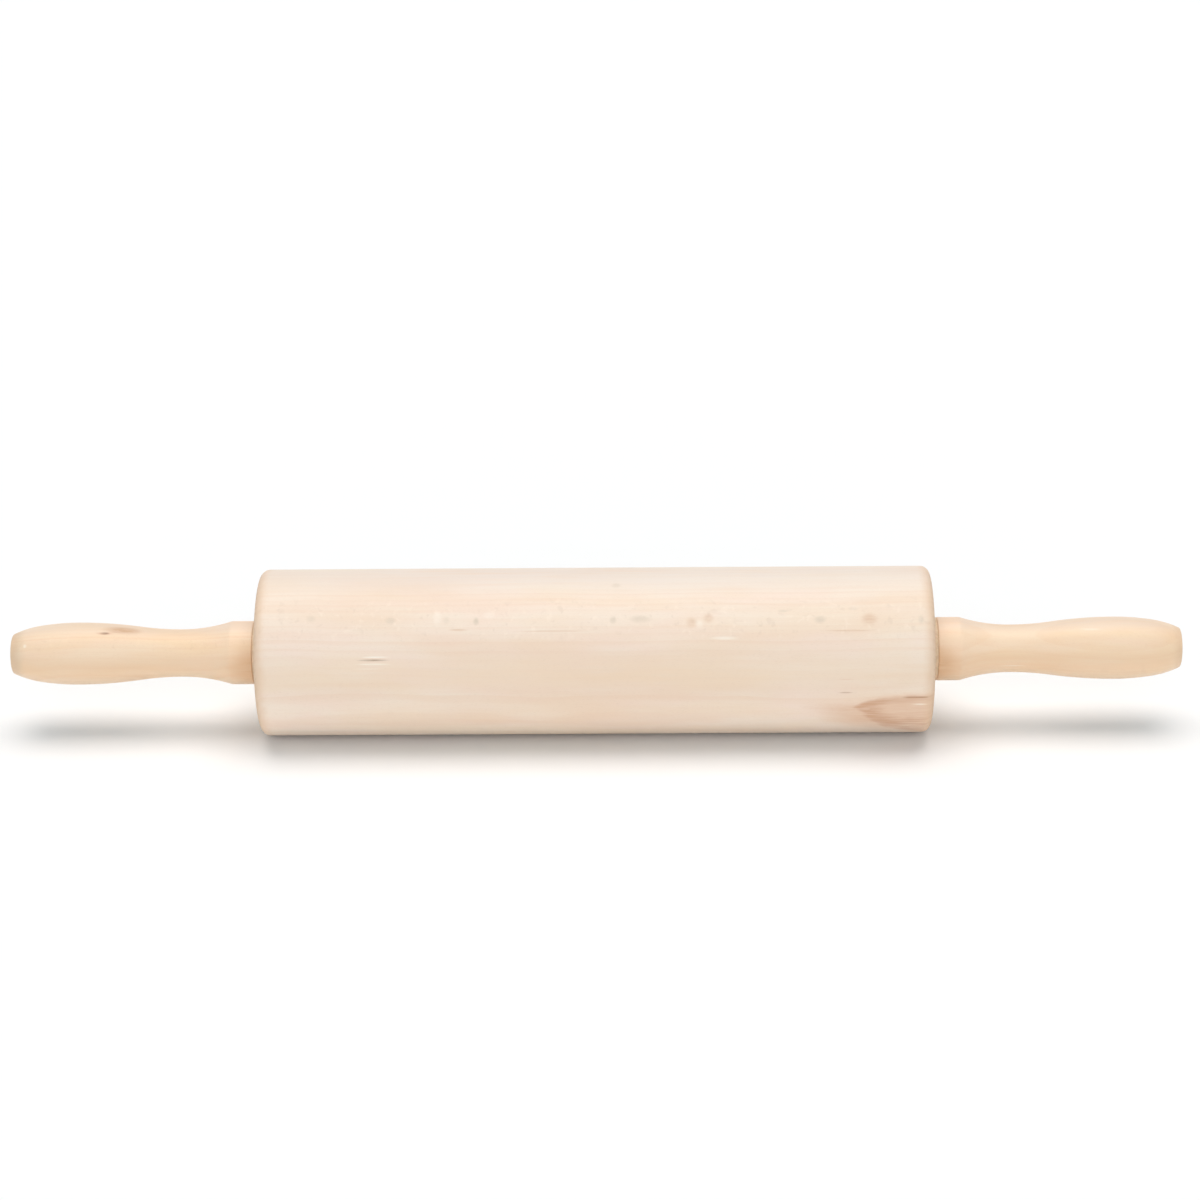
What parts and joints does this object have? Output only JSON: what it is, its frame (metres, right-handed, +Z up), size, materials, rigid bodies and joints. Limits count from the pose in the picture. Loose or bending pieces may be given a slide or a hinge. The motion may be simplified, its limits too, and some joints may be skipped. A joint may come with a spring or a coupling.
{
  "type": "roller rolling pin",
  "caption": "Wooden roller pin: a straight barrel with rounded rims turns on ball bearings between two contoured handles on a steel rod.",
  "frame": {"origin": "on the table, under the middle of the barrel", "axes": "+X along the rod towards the right handle, +Z up, +Y away from the viewer of the picture"},
  "size_m": [0.5334, 0.076, 0.076],
  "materials": {
    "barrel_wood": "pale close-grained hardwood, fine sanded and lightly oiled",
    "handle_wood": "pale hardwood, a little warmer than the barrel, turned and sanded",
    "plug_wood": "pale hardwood, end grain showing",
    "spacer_nylon": "turned natural nylon",
    "rod_steel": "ground bright steel",
    "plated_steel": "zinc plated",
    "race_steel": "ground bearing steel",
    "ball_steel": "polished bearing steel",
    "shield_steel": "pressed sheet steel",
    "cage_nylon": "moulded nylon"
  },
  "bodies": {
    "handles": {"axle_rod": "rod_steel", "left_handle": "handle_wood", "left_end_plug": "plug_wood", "left_spacer": "spacer_nylon", "left_washer": "plated_steel", "left_nut": "plated_steel", "right_handle": "handle_wood", "right_end_plug": "plug_wood", "right_spacer": "spacer_nylon", "right_washer": "plated_steel", "right_nut": "plated_steel"},
    "inner_races": {"left_inner_race": "race_steel", "right_inner_race": "race_steel"},
    "barrel": {"barrel": "barrel_wood", "left_outer_race": "race_steel", "left_outer_shield": "shield_steel", "left_inner_shield": "shield_steel", "right_outer_race": "race_steel", "right_outer_shield": "shield_steel", "right_inner_shield": "shield_steel"},
    "left_cage": {"left_ball_cage": "cage_nylon", "left_balls": "ball_steel"},
    "right_cage": {"right_ball_cage": "cage_nylon", "right_balls": "ball_steel"}
  },
  "joints": [
    {"name": "end_float", "type": "slide", "parent": "handles", "child": "inner_races", "axis": [1, 0, 0], "range_m": [-0.00045, 0.00045]},
    {"name": "barrel_spin", "type": "hinge", "parent": "inner_races", "child": "barrel", "pos_m": [0, 0, 0.038], "axis": [1, 0, 0], "continuous": true},
    {"name": "left_cage_spin", "type": "hinge", "parent": "inner_races", "child": "left_cage", "pos_m": [0, 0, 0.038], "axis": [1, 0, 0], "continuous": true},
    {"name": "right_cage_spin", "type": "hinge", "parent": "inner_races", "child": "right_cage", "pos_m": [0, 0, 0.038], "axis": [1, 0, 0], "continuous": true}
  ],
  "couplings": [
    {"joint": "left_cage_spin", "follows": "barrel_spin", "ratio": 0.6323},
    {"joint": "right_cage_spin", "follows": "barrel_spin", "ratio": 0.6323}
  ]
}
